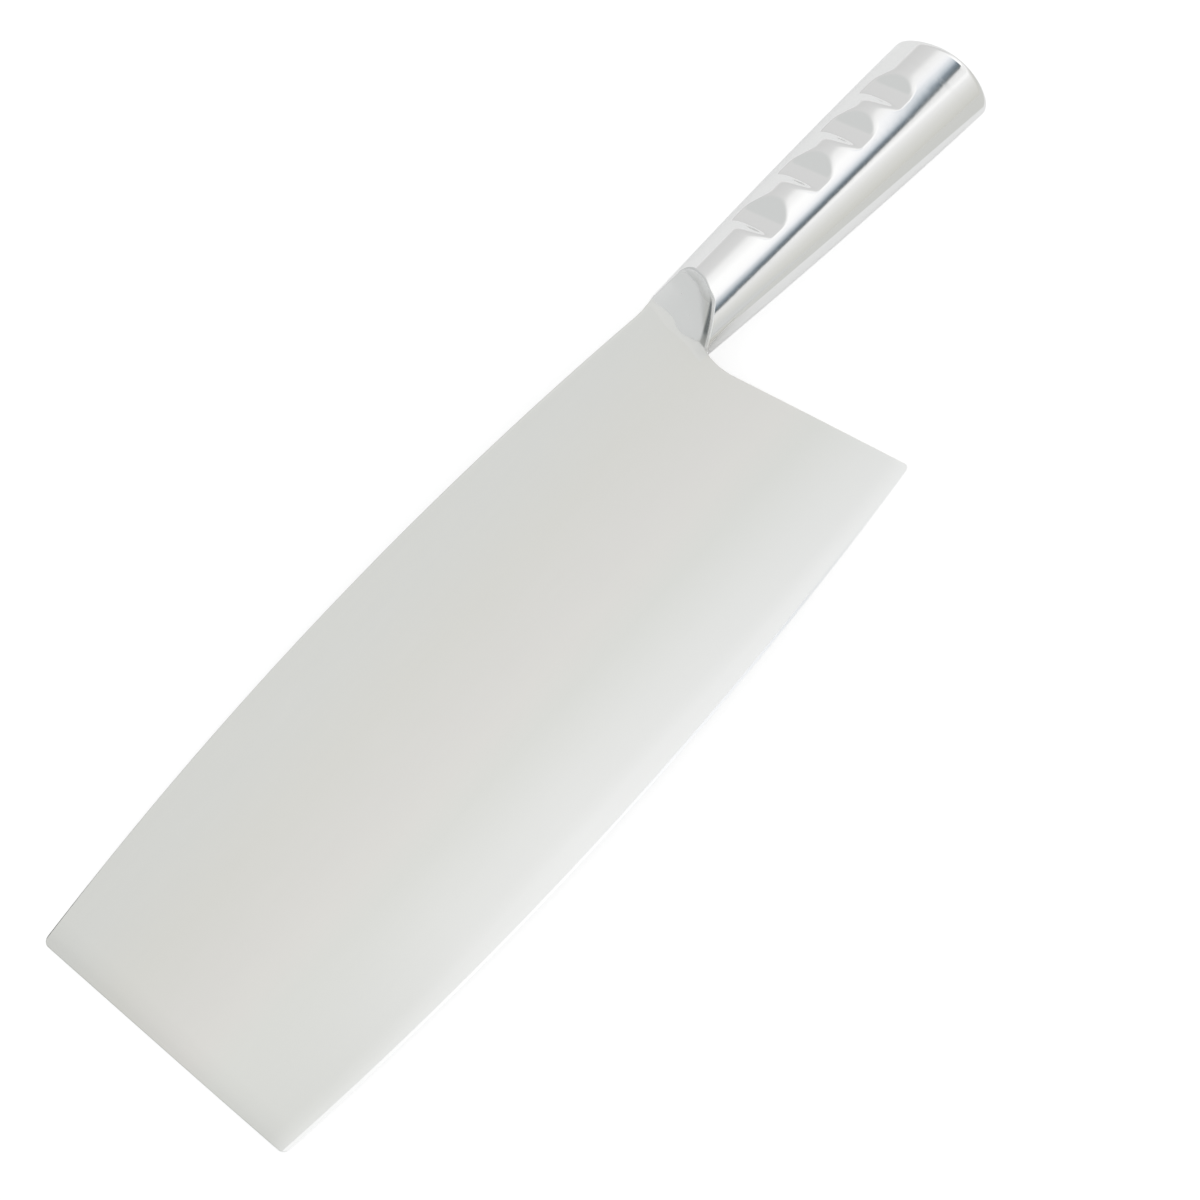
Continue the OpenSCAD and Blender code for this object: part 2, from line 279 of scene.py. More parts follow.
# The heel line and the hollow under the neck, as in the plate's own outline
heel_corner = np.array([0.0, edge_radius - np.sqrt(edge_radius ** 2 - edge_centre[0] ** 2)])
belly_corner = from_handle(0, -neck_radius)
heel_to_neck = belly_corner - heel_corner
heel_along = angle_of(heel_to_neck) + np.arcsin(heel_hollow / np.hypot(*heel_to_neck))
heel_outward = heel_along - np.pi / 2
heel_side = heel_corner + heel_hollow_radius * direction(heel_outward) - belly_corner
heel_reach = heel_side @ direction(heel_along)
heel_straight = -heel_reach - np.sqrt(
    heel_reach ** 2 - heel_side @ heel_side + heel_hollow_radius ** 2)
hollow_start = heel_corner + heel_straight * direction(heel_along)
hollow_centre = hollow_start + heel_hollow_radius * direction(heel_outward)
front_low = rounding_centre(
    edge_centre, edge_radius, front_middle, front_outward, front_corner_radius, 1)
front_top = rounding_centre(
    spine_centre, spine_radius, front_middle, front_outward, front_corner_radius, -1)
heel_low = rounding_centre(
    edge_centre, edge_radius, heel_corner, heel_outward, heel_corner_radius, -1)

# Columns stand closer at both ends, and rows closer at the edge and the spine
column_length = 225
column_margin = 9
even_columns = 104
column_mm = np.concatenate([
    [0, 0.4, 0.8, 1.3, 2, 3, 4.2, 5.6, 7.2],
    np.linspace(column_margin, column_length - column_margin, even_columns),
    column_length - np.array([8, 7, 6, 5.2, 4.4, 3.6, 2.9, 2.2, 1.6, 1.1, 0.7, 0.35, 0]),
])
column = column_mm / column_length
bevel_rows = (np.arange(bevel_count) / (bevel_count - 1)) ** 2
grind_rows = (np.arange(1, grind_count + 1) / grind_count) ** 1.8
bevel = bevel_height + bevel_front_extra * (1 - column) ** 4
height = np.concatenate([
    bevel_rows[:, None] * bevel,
    bevel + grind_rows[:, None] * (grind_height - bevel),
])
land = bevel_slope * bevel
ground_share = (grind_height - height[bevel_count:]) / (grind_height - bevel)
half_ground = np.concatenate([
    edge_half + (land - edge_half) * (height[:bevel_count] / bevel),
    half_blade - (half_blade - land) * ground_share ** 2,
])
front_points = side_points(
    height[:, 0], front_low, front_corner_radius, front_middle, front_outward, -1)
heel_points = side_points(
    height[:, -1], heel_low, heel_corner_radius, heel_corner, heel_outward, 1)
front_polar = np.arctan2(*(front_points - edge_centre).T[::-1])
heel_polar = np.arctan2(*(heel_points - edge_centre).T[::-1])
polar = front_polar[:, None] + (heel_polar - front_polar)[:, None] * column
ground = edge_centre + (edge_radius - height)[..., None] * direction(polar)

# The flat part is a patch stretched between the grind's last row, the spine, the front and the
# heel. Its front has a straight part and a rounded corner, and its heel a straight part, the
# hollow and the neck's line.
front_line_end = front_top + front_corner_radius * direction(front_outward)
spine_turn = angle_of(front_top - spine_centre)
left = np.concatenate([
    ground[-1, 0] + (front_line_end - ground[-1, 0])
    * np.linspace(0, 1, patch_rows - corner_steps)[:, None],
    front_top + front_corner_radius
    * direction(np.linspace(front_outward, spine_turn, corner_steps + 1)[1:]),
])
hollow_from = angle_of(hollow_start - hollow_centre) % (2 * np.pi)
hollow_to = angle_of(belly_corner - hollow_centre) % (2 * np.pi)
neck_line = np.concatenate([
    np.linspace(-neck_radius, -tang_half_width, neck_side_steps + 1)[1:],
    np.linspace(-tang_half_width, tang_half_width, tang_steps + 1)[1:],
    np.linspace(tang_half_width, neck_radius, neck_side_steps + 1)[1:],
])
right = np.concatenate([
    ground[-1, -1] + (hollow_start - ground[-1, -1])
    * np.linspace(0, 1, patch_rows - corner_steps - len(neck_line))[:, None],
    hollow_centre + heel_hollow_radius
    * direction(np.linspace(hollow_from, hollow_to, corner_steps + 1)[1:]),
    from_handle(np.zeros(len(neck_line)), neck_line),
])
spine_x = left[-1, 0] + (right[-1, 0] - left[-1, 0]) * column
rise = right[-1, 1] - spine_height(right[-1, 0])
rise_from = right[-1, 0] - neck_rise_length


def raised_spine(x):
    """Height of the spine with its rise to the neck, by the square of its share."""
    return spine_height(x) + rise * share_over(x, rise_from, neck_rise_length) ** 2


spine = np.stack([spine_x, raised_spine(spine_x)], -1)
u = column[None, :, None]
v = (1 - (1 - np.arange(patch_rows) / (patch_rows - 1)) ** 1.5)[:, None, None]
flat = (
    (1 - v) * ground[-1][None] + v * spine[None] + (1 - u) * left[:, None] + u * right[:, None]
    - (1 - u) * (1 - v) * left[0] - u * (1 - v) * right[0]
    - (1 - u) * v * left[-1] - u * v * right[-1])
face = np.concatenate([ground, flat[1:]])
half = np.concatenate([half_ground, np.full(flat[1:].shape[:2], half_blade)])
rows, columns = half.shape

# The tang carries on from the neck's middle rows
tang_high = rows - 1 - neck_side_steps
tang_low = tang_high - tang_steps
tang = face[tang_low:tang_high + 1, -1][:, None] + (
    np.arange(1, tang_columns + 1)[:, None] * tang_length / tang_columns * handle_along)
numbers = np.arange(rows * columns).reshape(rows, columns)
tang_numbers = rows * columns + np.arange(tang[..., 0].size).reshape(tang.shape[:2])
tang_grid = np.concatenate([numbers[tang_low:tang_high + 1, -1:], tang_numbers], 1)
flat_points = np.concatenate([face.reshape(-1, 2), tang.reshape(-1, 2)])
halves = np.concatenate([half.ravel(), np.full(tang_numbers.size, half_blade)])
outline = np.concatenate([
    numbers[0], numbers[1:tang_low, -1], tang_grid[0], tang_grid[1:, -1], tang_grid[-1, -2::-1],
    numbers[tang_high + 1:, -1], numbers[-1, -2::-1], numbers[-2:0:-1, 0]])

# The plate's rim is a wall with both its edges rounded, so that the face ends a little inside
rim = flat_points[outline]
rim_step = np.roll(rim, -1, 0) - rim
step_out = np.stack([rim_step[:, 1], -rim_step[:, 0]], -1) / np.hypot(*rim_step.T)[:, None]
before_out = np.roll(step_out, 1, 0)
outward = (step_out + before_out) / (1 + (step_out * before_out).sum(1, keepdims=True))
rounding = np.minimum(rim_rounding, rim_share * halves[outline])[:, None]
flat_points[outline] = rim - rounding * outward
rim_half = halves[outline][:, None]
rim_rows = [
    np.concatenate([rim + rounding * (np.cos(a) - 1) * outward,
                    side * (rim_half + rounding * (np.sin(a) - 1))], 1)
    for side, a in (
        (1, np.pi / 3), (1, np.pi / 6), (1, 0), (-1, 0), (-1, np.pi / 6), (-1, np.pi / 3))]
front_face = np.column_stack([flat_points, halves])
back_face = np.column_stack([flat_points, -halves])
face_count = len(front_face)
loop = 2 * face_count + np.arange(len(rim_rows) * len(outline)).reshape(len(rim_rows), -1)
half_faces = np.array(grid_quads(rows, columns))
tang_faces = tang_grid.ravel()[np.array(grid_quads(*tang_grid.shape))]
front_faces = np.concatenate([half_faces, tang_faces])
blade_faces = front_faces.tolist() + (front_faces[:, ::-1] + face_count).tolist()
for upper, lower in zip([outline, *loop], [*loop, outline + face_count]):
    blade_faces += strip_quads(upper, lower)

# The CAD blade's box gives the knife's place
blade_low, blade_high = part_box("blade")
knife_shift = np.array([
    blade_low.x * 1000 - (front_top[0] - front_corner_radius),
    blade_low.y * 1000,
    (blade_low.z + blade_high.z) * 500,
])

# The finish is brushed along the blade and honed smoother on the bevel. Its tone is a little warmer
# on the flat part and darker in the last millimetres before the front. Light is painted into it:
# painted shade makes the flat part lighter towards the edge and darker towards the spine, a painted
# highlight brightens the ground part, most of all near the edge, and the bevel is painted near
# white. The ramps run along the box of the blade, in metres.
satin_steel, satin, satin_place = new_steel("satin_steel")
satin_parts = add_node(satin, "ShaderNodeSeparateXYZ", {"Vector": satin_place})
brushing = add_noise(satin, add_node(satin, "ShaderNodeMapping", {
    "Vector": satin_place, "Scale": (60, 2600, 60)})["Vector"], 1.0, 4.0)
honed_and_highlit_share = add_share(satin, "honed_and_highlit")
satin_roughness = add_node(satin, "ShaderNodeMix", {
    "Factor": honed_and_highlit_share, "A": add_range(satin, brushing, {"To Min": 0.36, "To Max": 0.46}),
    "B": 0.2})["Result"]
ramp_half = 0.0443
ramp_front, ramp_heel = -0.1564, 0.0736
across_blade = add_range(satin, satin_parts["Y"], {"From Min": -ramp_half, "From Max": ramp_half})
along_blade = add_range(satin, satin_parts["X"], {"From Min": ramp_front, "From Max": ramp_heel})
# The steel's warm tone, with painted shade: lighter towards the edge, darker towards the spine
warm_tone_and_painted_shade = add_ramp(satin, across_blade, [
    (0.0, 0.80, 0.80, 0.768), (0.34, 0.81, 0.81, 0.772), (0.43, 0.81, 0.796, 0.76),
    (0.52, 0.79, 0.776, 0.742), (0.70, 0.76, 0.752, 0.711), (0.88, 0.742, 0.742, 0.711),
    (1.0, 0.735, 0.735, 0.703)])
front_tone = add_ramp(satin, along_blade, [
    (0.0087, 0.92), (0.0174, 0.965), (0.035, 1.0), (0.13, 0.995), (0.304, 0.986), (0.565, 0.97),
    (1.0, 0.96)])
# Painted highlight on the ground part: the colour goes towards near white near the edge, less
# towards the front
grind_highlight_across = add_ramp(satin, across_blade, [
    (0.035, 1.0), (0.058, 0.95), (0.08, 0.8), (0.103, 0.68), (0.137, 0.6), (0.182, 0.5),
    (0.25, 0.3), (0.34, 0.03)])
grind_highlight_along = add_ramp(satin, along_blade, [
    (0.03, 0.04), (0.065, 0.12), (0.13, 0.26), (0.217, 0.5), (0.304, 0.8), (0.478, 1.0)])
painted_highlight_colour = (1.0, 0.995, 0.975, 1)
painted_grind_highlight = add_mix(satin, 1.0, grind_highlight_across, grind_highlight_along, "MULTIPLY")
satin_tone = add_mix(satin, painted_grind_highlight, warm_tone_and_painted_shade, painted_highlight_colour)
satin_tone = add_mix(satin, 1.0, satin_tone, front_tone, "MULTIPLY")
# Painted highlight along the edge: the colour goes towards near white over the last millimetres
# above it
satin_tone = add_mix(satin, add_share(satin, "painted_edge_highlight"), satin_tone, painted_highlight_colour)
# The honed bevel is smoother, a real finish, and its near white colour is a painted highlight
satin_tone = add_mix(satin, honed_and_highlit_share, satin_tone, (1.0, 1.0, 0.99, 1))
finish_steel(satin, satin_tone, satin_roughness, add_bump(satin, brushing, 0.12, 0.00003))

blade_points = np.concatenate([front_face, back_face, *rim_rows]) + knife_shift
crease_row = numbers[bevel_count - 1]
blade = steel_piece(
    "cleaver_blade", blade_points, blade_faces, "blade", satin_steel, "satin_steel",
    np.concatenate([crease_row, crease_row + face_count]))
honed_until, honed_fade = 215, 45
edge_highlight_height, edge_highlight_most = 6, 0.6
honed_and_highlit = np.zeros((rows, columns))
honed_and_highlit[:bevel_count] = share_over(honed_until, column_mm, honed_fade)
# Painted highlight: strongest at the edge and gone 6 mm above it
painted_edge_highlight = np.zeros((rows, columns))
painted_edge_highlight[:len(height)] = edge_highlight_most * np.clip(1 - height / edge_highlight_height, 0, 1) ** 1.5
for attribute, values in (("honed_and_highlit", honed_and_highlit), ("painted_edge_highlight", painted_edge_highlight)):
    values = np.append(values.ravel(), np.zeros(tang_numbers.size))
    point_values(blade, attribute, np.concatenate([
        values, values, np.tile(values[outline], len(rim_rows))]))

# Handle halves: two sheets of stainless steel, 1 mm thick, pressed alike into half of a tapered
# round handle, with a thumb hollow at the neck and four slanting grip dents, then polished bright.
# They are welded together along the spine and the belly of the handle.
butt_radius = 13.5
handle_bulge = 0.5
wall = 1.0
seam_half = 0.6
sheet_length = 85.6
dome_radius = 30.5
dome_flat_radius = 400.0
dome_corner_radius = 2.3
dome_rim_radius = 1.2
dome_margin = 0.1
dome_tilt = np.radians(9.5)
dome_height = 3.7
barrel_length = 88.9
butt_weld_line = -4.2
cap_line = -3.0
hollow_tip = np.array([-0.6, -9.2, half_blade + wall])
hollow_half_angle = np.radians(37.5)
hollow_turn = np.radians(6.2)
hollow_lip = 2.0
hollow_margin = 0.05
least_wall = 0.1
hollow_end_curve = 0.55
hollow_end_y = [-4.5, -3.0, -1.5, 0.7, 1.9, 4.1, 8.2, 9.5, 10.3]
hollow_end_s = [12.0, 8.7, 8.3, 7.9, 8.4, 9.3, 9.4, 9.0, 6.5]
entrance_y = [-9.9, -6.5, -4.8, -2.8, -0.7, 1.0, 2.3, 5.0, 7.5, 9.9]
entrance_s = [0.3, 0.6, -0.2, -1.0, -1.5, -1.0, -0.2, -0.3, -0.7, -1.1]
dent_places = [(28.7, 1.7), (44.6, 1.6), (59.2, 1.5), (72.5, 1.4)]
dent_bearing = np.radians(29)
dent_half_turn = np.radians(60)
dent_floor_length = 3.2
dent_step_slope = np.radians(48)
dent_step_slant = np.radians(15.5)
dent_step_shoulder = 2.0
dent_back_slope = np.radians(20)
dent_back_slant = np.radians(14)
dent_back_lip = 0.5
dent_lip = 0.12
dent_bend = 0.4
dent_fillet = 0.5
least_gain = 0.2
beyond_cone = 60.0


def side_radius(s):
    """Radius of the handle's side: a straight taper from neck to butt, and a parabola over it."""
    share = s / barrel_length
    straight = neck_radius + (butt_radius - neck_radius) * share
    return straight + 4 * handle_bulge * share * (1 - share)


def soft_min(a, b, width):
    """The smaller of two values. Within the width their meeting is rounded by a parabola."""
    near = np.maximum(width - np.abs(a - b), 0) / width
    return np.minimum(a, b) - near * near * width / 4


def soft_max(a, b, width):
    """The larger of two values, rounded in the same way."""
    return -soft_min(-a, -b, width)


def slanted_plane(s, across, up, height, slope, slant, grow):
    """Distance from the axis at which a ray meets a plane that holds the point at this height over
    the axis, and falls by the slope in the direction turned by the slant from the handle's length:
    height less the fall along the handle, divided by the ray's own gain on the plane."""
    fall = np.tan(slope)
    level = height - grow / np.cos(slope) - fall * np.cos(slant) * s
    return level / np.maximum(up + fall * np.sin(slant) * across, least_gain)


def dented_radius(s, angle, grow):
    """Distance of the sheet from the handle's axis. A dent is cut off by three planes: a step on
    its neck side with a wide soft shoulder, a floor along the handle, and a rise to the butt."""
    radius = side_radius(s) - grow
    across = np.cos(angle + dent_bearing)
    up = np.sin(angle + dent_bearing)
    near = np.abs(angle + dent_bearing - np.pi / 2) < dent_half_turn
    taper = (butt_radius - neck_radius) / barrel_length
    for at, depth in dent_places:
        low = side_radius(at) - depth
        bottom = (low - grow + taper * (s - at)) / np.maximum(up, least_gain)
        step = slanted_plane(s - at, across, up, low, dent_step_slope, dent_step_slant, grow)
        back = slanted_plane(
            s - at - dent_floor_length, across, up, low, -dent_back_slope, dent_back_slant, grow)
        trough = soft_max(
            soft_min(radius, bottom, dent_lip), soft_min(radius, back, dent_back_lip), dent_bend)
        shoulder = soft_min(radius, step, dent_step_shoulder)
        dented = np.minimum(soft_max(trough, shoulder, dent_fillet), radius)
        radius = np.where(near, dented, radius)
    return radius


def cone_height(s, y, grow):
    """Height of the lower side of a circular cone that lies level on its bottom line, found from
    the quadratic equation of the cone along an upright line. Beyond the cone it is very high."""
    tilt_up = np.sin(hollow_half_angle)
    cosine = np.cos(hollow_half_angle)
    level = np.array([np.sin(hollow_turn), np.cos(hollow_turn)])
    tip = hollow_tip - grow / np.sin(hollow_half_angle) * np.array([*(cosine * level), tilt_up])
    wx, wy = s - tip[0], y - tip[1]
    along = cosine * (wx * level[0] + wy * level[1])
    square = cosine ** 2 - tilt_up ** 2
    inside = along ** 2 - square * (wx ** 2 + wy ** 2)
    rise = (tilt_up * along - cosine * np.sqrt(np.maximum(inside, 0))) / square
    return np.where((inside > 0) & (along > 0), tip[2] + rise, beyond_cone)


# The hollow's entrance is ground by hand: from a wavy line on the blade's face a slope goes up to
# where it touches the cone. The line is smoothed, and the slope that fits it is found for each y.
smoothing = 0.7
smooth_y = np.linspace(-14, 14, 281)
smooth_weight = np.exp(-0.5 * (np.linspace(-2, 2, 41) / smoothing) ** 2)
smooth_s, smooth_end = (
    np.convolve(np.interp(smooth_y, *line), smooth_weight / smooth_weight.sum(), "same")
    for line in ((entrance_y, entrance_s), (hollow_end_y, hollow_end_s)))
least_slope = 0.05
scan_top = 40
touch_y = np.linspace(-8.6, 10, 94)
scan_s = np.linspace(-1.2, 14, 761)
scan_z = cone_height(scan_s[None], touch_y[:, None], 0.0)
scan_slope = np.gradient(scan_z, scan_s, axis=1)
scan_start = scan_s - (scan_z - half_blade) / np.maximum(scan_slope, least_slope)
scan_used = (scan_slope > least_slope) & (scan_z < scan_top)
touch_s = np.array([
    np.interp(start, starts[used], scan_s[used])
    for start, starts, used in zip(np.interp(touch_y, smooth_y, smooth_s), scan_start, scan_used)])
touch_slope = np.array([np.interp(at, scan_s, slopes) for at, slopes in zip(touch_s, scan_slope)])


def entrance_height(s, y):
    """Height of the cone, and nearer the blade than its touching line that of the ground slope.
    At the belly, beyond the cone's tip, the slope goes on as a plane that breaks the corner."""
    touch = np.interp(y, touch_y, touch_s)
    slope = np.interp(y, touch_y, touch_slope)
    corner = half_blade + slope * (s - np.interp(y, smooth_y, smooth_s))
    on_slope = cone_height(np.maximum(s, touch), y, 0.0) + slope * np.minimum(s - touch, 0)
    return np.where(y < touch_y[0], corner, on_slope)


def hollow_height(s, y, grow):
    """Height of the thumb hollow's floor, on the sheet's outside or, by a wall inwards, its inside.
    Towards its end the floor curves up from the cone by a square."""
    ground_to = entrance_height(s, y)
    end_rise = hollow_end_curve * np.maximum(s - np.interp(y, smooth_y, smooth_end), 0) ** 2
    if grow == 0:
        return np.maximum(ground_to, half_blade + hollow_margin) + end_rise
    inside = np.minimum(cone_height(s, y, grow), ground_to - least_wall)
    return np.maximum(inside, half_blade - hollow_margin) + end_rise


def cut_place(angle, line, grow=0.0):
    """Distance along the handle of a plane across the dome's tilted axis, on the handle's side:
    found by repeating, as the plane depends on the height across and that on the radius there."""
    s = np.full_like(angle, barrel_length)
    for _ in range(8):
        y = (side_radius(s) - grow) * np.cos(angle)
        s = barrel_length + (line - y * np.sin(dome_tilt)) / np.cos(dome_tilt)
    return s


def handle_place(s, y, z):
    """Points of the handle's own frame in the knife's frame."""
    flat_place = from_handle(0, 0) + s[..., None] * handle_along + y[..., None] * handle_across
    return np.concatenate([flat_place, z[..., None]], -1) + knife_shift


def turned_over(points, faces, side):
    """A front piece's points in the knife's frame with its faces, or the same piece turned over."""
    s, y, z = points.T
    facing = faces if side > 0 else [corners[::-1] for corners in faces]
    return handle_place(s, y, side * z), facing


def rim_of(numbers):
    """Point numbers round a grid: down its first column, along its last row, and back."""
    return np.concatenate([
        numbers[:-1, 0], numbers[-1, :-1], numbers[:0:-1, -1], numbers[0, :0:-1]])


def pressed_sheet(share, turn, grow):
    """One side of a pressed half over shares of its length and of its half turn. The angle starts
    where the side stands half a seam over the middle plane; the dents are pressed in towards the
    axis, and the thumb hollow straight down."""
    angle = turn * np.pi
    for _ in range(6):
        s = share * cut_place(angle, butt_weld_line, grow)
        first = np.arcsin(seam_half / (side_radius(s) - grow))
        angle = first + turn * (np.pi - 2 * first)
    radius = dented_radius(s, angle, grow)
    y = radius * np.cos(angle)
    z = soft_min(radius * np.sin(angle), hollow_height(s, y, grow), hollow_lip)
    return s, y, np.maximum(z, seam_half)


# Rows stand closer over the thumb hollow, and angles closer over the dents and the hollow's crest.
# The unseen inside has every fourth.
fine_length = 15
dents_from, dents_to = 25, 93
length_share = np.concatenate([
    np.linspace(0, fine_length, 133)[:-1],
    np.linspace(fine_length, sheet_length, 245)]) / sheet_length
turn_share = np.concatenate([
    np.linspace(0, dents_from, 21)[:-1], np.linspace(dents_from, dents_to, 85)[:-1],
    np.linspace(dents_to, 180, 121)]) / 180
skip = 4
outer, inner = (
    np.stack(pressed_sheet(
        *np.meshgrid(length_share[::every], turn_share[::every], indexing="ij"), depth), -1)
    for every, depth in ((1, 0.0), (skip, wall)))
outer_numbers = np.arange(outer[..., 0].size).reshape(outer.shape[:2])
inner_numbers = outer_numbers.size + np.arange(inner[..., 0].size).reshape(inner.shape[:2])
shell_faces = grid_quads(*outer.shape[:2], flip=True)
shell_faces += grid_quads(*inner.shape[:2], first=outer_numbers.size)
outer_rim, inner_rim = rim_of(outer_numbers), rim_of(inner_numbers)
rim_parts = np.append(outer_rim, outer_rim[0])
rim_fans = np.column_stack(
    [rim_parts[k::skip][:len(inner_rim)] for k in range(skip)] + [rim_parts[skip::skip]]
    + [np.roll(inner_rim, -1), inner_rim])
shell_faces += rim_fans.tolist()
shell_points = np.concatenate([outer.reshape(-1, 3), inner.reshape(-1, 3)])

# The hollow's finish: softer than the barrel's and satin where the sheet lies flush with the weld
# at the neck. Painted shade darkens the corner under the crest, and a painted highlight makes the
# crest and the hollow's end brightest
crest_end = 10.5
crest_cosine = 0.77
crest_half_width, crest_shift, crest_fade = 0.42, 0.06, 0.12
crest_most_y = 4
corner_start, corner_start_fade, corner_end_fade = 0.25, 0.3, 0.5
lip_height, lip_fade = 0.1, 0.04
soft_depth = 0.6
end_start, end_fade, end_highlight = 0.3, 1.2, 0.85
flush_s, flush_y = outer[..., 0], outer[..., 1]
floor_height = hollow_height(flush_s, flush_y, 0.0)
under = np.sqrt(np.maximum(side_radius(flush_s) ** 2 - flush_y ** 2, 0)) - floor_height
crest_s = np.linspace(0, 16, 161)
crest_scan = np.linspace(-9.8, 6, 791)
crest_under = (side_radius(crest_s)[:, None] ** 2 - crest_scan ** 2) ** 0.5 - hollow_height(
    *np.broadcast_arrays(crest_s[:, None], crest_scan), 0.0)
crest_y = crest_scan[np.argmax(crest_under > 0, axis=1)]
from_crest = crest_cosine * (flush_y - np.interp(flush_s, crest_s, crest_y))
corner_width = np.interp(flush_s, [0, 2, 5, 8, 9.5, crest_end], [1.9, 1.8, 1.6, 1.2, 0.9, 0.3])
corner_fade = np.interp(flush_s, [0.1, 0.8, 2.2, 3.2, 8, crest_end], [0, 0.4, 0.6, 0.95, 1, 1])
# Painted shade in the corner under the crest
painted_corner_shade = (
    share_over(from_crest, corner_start, corner_start_fade)
    * share_over(corner_width, from_crest, corner_end_fade)
    * corner_fade * (under > 0) * (flush_s < crest_end))
satin_lip = share_over(half_blade + lip_height, floor_height, lip_fade) * (under > 0)
soft_floor = np.clip(under / soft_depth - 0.5, 0, 1)
past_end = flush_s - np.interp(flush_y, smooth_y, smooth_end)
end_share = share_over(past_end, end_start, end_fade) * (under > 0)
# Painted highlight along the crest and at the hollow's end
crest_line = share_over(crest_half_width, np.abs(from_crest + crest_shift), crest_fade)
crest_line = crest_line * (flush_s < crest_end) * (flush_y < crest_most_y)
painted_crest_highlight = np.maximum(crest_line, end_highlight * end_share)

polished_steel, polished, polish_place = new_steel("polished_steel")
polish_shares = {name: add_share(polished, name) for name in ("hollow", "satin", "corner", "crest")}
polish_marks = add_noise(polished, polish_place, 900.0, 3.0)
polish_rough = add_range(polished, polish_marks, {"To Min": 0.05, "To Max": 0.11})
for attribute, amount in (("crest", 0.3), ("hollow", 0.18), ("satin", 0.14)):
    polish_rough = add_math(
        polished, "MULTIPLY_ADD", polish_shares[attribute], amount, polish_rough)
satin_colour = (0.745, 0.742, 0.715, 1)
polish_tone = (0.86, 0.86, 0.855, 1)
# Painted shade darkens the corner under the crest, and a painted highlight turns the crest white
for attribute, colour in (
        ("satin", satin_colour), ("corner", (0.22, 0.24, 0.25, 1)), ("crest", (1, 1, 1, 1))):
    polish_tone = add_mix(polished, polish_shares[attribute], polish_tone, colour)
polish_waves = add_noise(polished, polish_place, 160.0, 2.0)
finish_steel(polished, polish_tone, polish_rough, add_bump(polished, polish_waves, 0.5, 0.00002))

for side, shell_name in ((1, "handle_shell_front"), (-1, "handle_shell_back")):
    shell = steel_piece(
        "polished_" + shell_name, *turned_over(shell_points, shell_faces, side), shell_name,
        polished_steel, "polished_steel")
    for attribute, values in (
            ("hollow", soft_floor), ("satin", satin_lip), ("corner", painted_corner_shade),
            ("crest", painted_crest_highlight)):
        point_values(shell, attribute, np.append(values.ravel(), np.zeros(inner_numbers.size)))

# Seam welds: one bead of weld along the spine and one along the belly of the handle fill the gap
# of 1.2 mm between the two halves. They are ground flush with the sheet and polished with it.
ground_weld, welded, weld_place = new_steel("ground_weld")
weld_grain = add_noise(welded, weld_place, 700.0, 4.0)
weld_satin = add_share(welded, "satin")
weld_rough = add_range(welded, weld_grain, {"To Min": 0.07, "To Max": 0.14})
for weld_share in (weld_satin, add_share(welded, "hollow")):
    weld_rough = add_math(welded, "MULTIPLY_ADD", weld_share, 0.16, weld_rough)
weld_tone = add_mix(welded, weld_satin, (0.855, 0.855, 0.85, 1), satin_colour)
finish_steel(welded, weld_tone, weld_rough, add_bump(welded, weld_grain, 0.4, 0.00002))
bead_outer = np.linspace(-seam_half, seam_half, 9)
bead_inner = np.linspace(seam_half, -seam_half, 5)
bead_z = np.concatenate([bead_outer, bead_inner])
bead_wall = np.concatenate([np.zeros(len(bead_outer)), np.full(len(bead_inner), wall)])
bead_angle = np.arcsin(bead_z / (butt_radius - bead_wall))
bead_share = np.linspace(0, 1, 121)
for side, seam_name in ((1, "spine_seam_weld"), (-1, "belly_seam_weld")):
    bead_end = cut_place(
        bead_angle if side > 0 else np.pi - bead_angle, butt_weld_line, bead_wall)
    bead_s = bead_share[:, None] * bead_end
    bead_y = side * np.sqrt((side_radius(bead_s) - bead_wall) ** 2 - bead_z ** 2)
    bead_points = handle_place(bead_s, bead_y, np.broadcast_to(bead_z, bead_s.shape))
    bead_faces = grid_quads(*bead_s.shape, wrap=True, flip=side > 0)
    bead_ends = np.arange(bead_s.size).reshape(bead_s.shape)[[0, -1]]
    bead_faces += [bead_ends[0][::side].tolist(), bead_ends[1][::-side].tolist()]
    steel_piece(
        "ground_" + seam_name, bead_points.reshape(-1, 3), bead_faces, seam_name, ground_weld,
        "ground_weld")

# Butt cap: a cap pressed from the same sheet and polished closes the handle. Its end is curved
# across the handle's height and nearly flat across its thickness. It is tilted a little towards
# the spine and runs over a rounded rim into the handle's side.
turns = 192
dome_angles = np.linspace(0, 2 * np.pi, turns + 1)[:-1]


